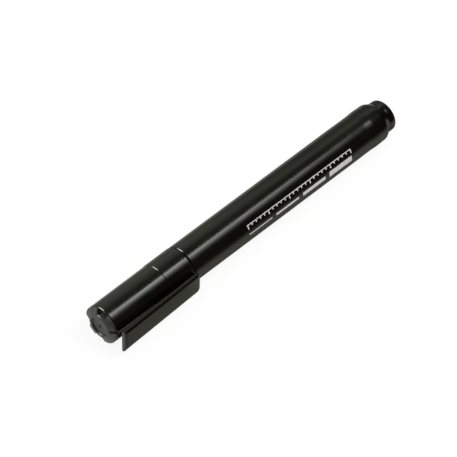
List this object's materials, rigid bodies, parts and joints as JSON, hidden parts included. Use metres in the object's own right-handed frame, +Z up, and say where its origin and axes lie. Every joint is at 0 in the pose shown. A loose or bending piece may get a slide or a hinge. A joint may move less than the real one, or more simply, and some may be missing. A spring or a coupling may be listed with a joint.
{
  "type": "alcohol marker",
  "caption": "Pull-cap alcohol marker: black plastic barrel with a fibre nib and ink core, vented snap cap with a soft seal cup and a moulded spring clip.",
  "frame": {"origin": "centre of the footprint, on the surface that the pen lies on", "axes": "+X along the pen from the cap's closed end to the tail, -Y towards the clip, +Z up"},
  "size_m": [0.138, 0.0182, 0.0146],
  "materials": {
    "gloss_black_plastic": "moulded black polypropylene, polished",
    "satin_black_plastic": "moulded black polypropylene, satin",
    "natural_polyethylene": "natural, slightly waxy",
    "inked_felt": "bonded fibre soaked with black ink",
    "reservoir_fibre": "drawn fibre bundle soaked with black ink",
    "clear_film": "thin clear film"
  },
  "bodies": {
    "barrel_body": {"barrel": "gloss_black_plastic", "tail_plug": "gloss_black_plastic", "front_section": "satin_black_plastic", "nib": "inked_felt", "ink_reservoir": "reservoir_fibre", "reservoir_wrap": "clear_film"},
    "cap": {"cap_shell": "gloss_black_plastic", "cap_end_plug": "satin_black_plastic", "inner_cap": "natural_polyethylene"},
    "clip": {"clip_blade": "gloss_black_plastic"}
  },
  "joints": [
    {"name": "cap_pull", "type": "slide", "parent": "barrel_body", "child": "cap", "axis": [-1, 0, 0], "range_m": [0, 0.045]},
    {"name": "clip_flex", "type": "hinge", "parent": "cap", "child": "clip", "pos_m": [-0.0338, -0.00731, 0.0073], "axis": [0, 0, 1], "range_deg": [0, 6], "stiffness_Nm_per_rad": 0.6}
  ]
}
